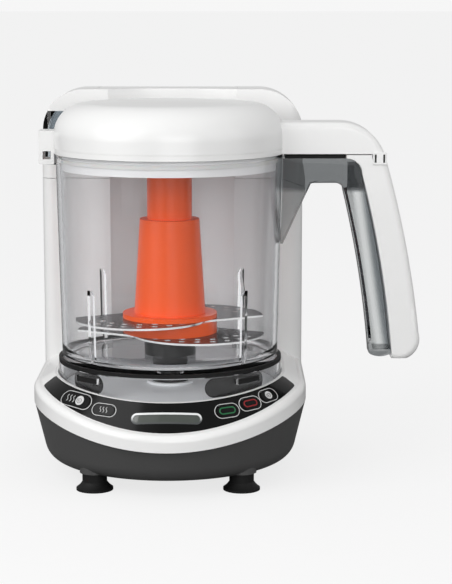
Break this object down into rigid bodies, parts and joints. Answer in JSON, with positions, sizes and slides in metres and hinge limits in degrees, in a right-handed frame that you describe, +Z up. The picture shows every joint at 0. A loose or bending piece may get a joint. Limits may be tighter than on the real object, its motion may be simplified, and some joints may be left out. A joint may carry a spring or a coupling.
{
  "type": "baby food maker",
  "caption": "Countertop baby food maker: a smoky bowl with spinning blades and hinged lid on a round control base, steamed from a tower with a lift-off water tank.",
  "frame": {"origin": "on the table, under the middle of the machine's outer box", "axes": "+Z up, -Y towards the control panel's front, +X towards the handle"},
  "size_m": [0.2404, 0.1902, 0.236],
  "materials": {
    "white_plastic": "gloss",
    "grey_plastic": "satin",
    "smoky_plastic": "gloss",
    "black_panel": "gloss",
    "display_glass": "gloss",
    "pale_trim": "gloss",
    "rubber_black": "matte",
    "silicone": "matte",
    "orange_plastic": "satin",
    "polished_steel": "polished",
    "boiler_metal": "satin",
    "plated_steel": "satin",
    "black_plastic": "satin",
    "board_green": "satin"
  },
  "bodies": {
    "base": {"lower_housing": "grey_plastic", "front_left_foot": "rubber_black", "front_right_foot": "rubber_black", "rear_left_foot": "rubber_black", "rear_right_foot": "rubber_black", "base_screws": "polished_steel", "cord_grommet": "rubber_black", "upper_housing": "white_plastic", "steam_column": "white_plastic", "bowl_seat": "grey_plastic", "control_panel": "black_panel", "display_bezel": "pale_trim", "display_lens": "display_glass", "display_module": "black_plastic", "button_switches": "black_plastic", "control_board": "board_green", "motor_grommets": "rubber_black", "motor_bracket": "plated_steel", "motor_can": "plated_steel", "boiler": "boiler_metal", "boiler_bracket": "plated_steel", "steam_pipe": "boiler_metal", "steam_nozzle": "boiler_metal", "tank_socket": "grey_plastic", "feed_hose": "silicone"},
    "drive": {"motor_shaft": "polished_steel", "drive_coupler": "black_plastic"},
    "bowl": {"bowl": "smoky_plastic", "handle_rail": "smoky_plastic", "handle_cover": "white_plastic", "spindle_bush": "black_plastic", "bowl_ring": "rubber_black", "skirt_lugs": "black_plastic", "boss_collar": "black_plastic"},
    "blade": {"spindle": "polished_steel", "bowl_coupler": "black_plastic", "blade_spacer": "orange_plastic", "blade_hub": "orange_plastic", "hub_stem": "orange_plastic", "lower_blade": "polished_steel", "upper_blade": "polished_steel"},
    "lid": {"lid_shell": "white_plastic", "lid_hinge_pin": "polished_steel", "lid_liner": "white_plastic", "lid_seal": "silicone", "steam_port": "white_plastic"},
    "tank": {"tank_collar": "white_plastic", "water_tank": "smoky_plastic", "tank_valve": "silicone", "tank_cap": "white_plastic"},
    "flap": {"fill_flap": "white_plastic", "flap_pin": "polished_steel"},
    "steam_blend_button": {"steam_blend_button": "black_panel"},
    "steam_button": {"steam_button": "black_panel"},
    "start_button": {"start_button": "black_panel"},
    "stop_button": {"stop_button": "black_panel"},
    "blend_button": {"blend_button": "black_panel"}
  },
  "joints": [
    {"name": "drive_spin", "type": "hinge", "parent": "base", "child": "drive", "pos_m": [-0.03495, -0.0099, 0.057], "axis": [0, 0, 1], "continuous": true},
    {"name": "bowl_lift", "type": "slide", "parent": "base", "child": "bowl", "axis": [0, 0, 1], "range_m": [0, 0.18]},
    {"name": "blade_spin", "type": "hinge", "parent": "bowl", "child": "blade", "pos_m": [-0.03495, -0.0099, 0.0873], "axis": [0, 0, 1], "continuous": true},
    {"name": "lid_hinge", "type": "hinge", "parent": "bowl", "child": "lid", "pos_m": [0.09385, -0.0099, 0.199], "axis": [0, 1, 0], "range_deg": [0, 85]},
    {"name": "tank_lift", "type": "slide", "parent": "base", "child": "tank", "axis": [0, 0, 1], "range_m": [0, 0.08]},
    {"name": "flap_hinge", "type": "hinge", "parent": "tank", "child": "flap", "pos_m": [-0.03495, 0.0892, 0.234], "axis": [-1, 0, 0], "range_deg": [0, 95]},
    {"name": "steam_blend_button_press", "type": "slide", "parent": "base", "child": "steam_blend_button", "axis": [0.5663, 0.5469, -0.6166], "range_m": [0, 0.0008], "stiffness_N_per_m": 1200},
    {"name": "steam_button_press", "type": "slide", "parent": "base", "child": "steam_button", "axis": [0.4214, 0.7449, -0.5173], "range_m": [0, 0.0008], "stiffness_N_per_m": 1200},
    {"name": "start_button_press", "type": "slide", "parent": "base", "child": "start_button", "axis": [-0.4038, 0.7594, -0.5103], "range_m": [0, 0.0008], "stiffness_N_per_m": 1200},
    {"name": "stop_button_press", "type": "slide", "parent": "base", "child": "stop_button", "axis": [-0.5293, 0.6198, -0.5794], "range_m": [0, 0.0008], "stiffness_N_per_m": 1200},
    {"name": "blend_button_press", "type": "slide", "parent": "base", "child": "blend_button", "axis": [-0.5935, 0.4554, -0.6636], "range_m": [0, 0.0008], "stiffness_N_per_m": 1200}
  ],
  "couplings": [
    {"joint": "drive_spin", "follows": "blade_spin", "ratio": 1}
  ]
}
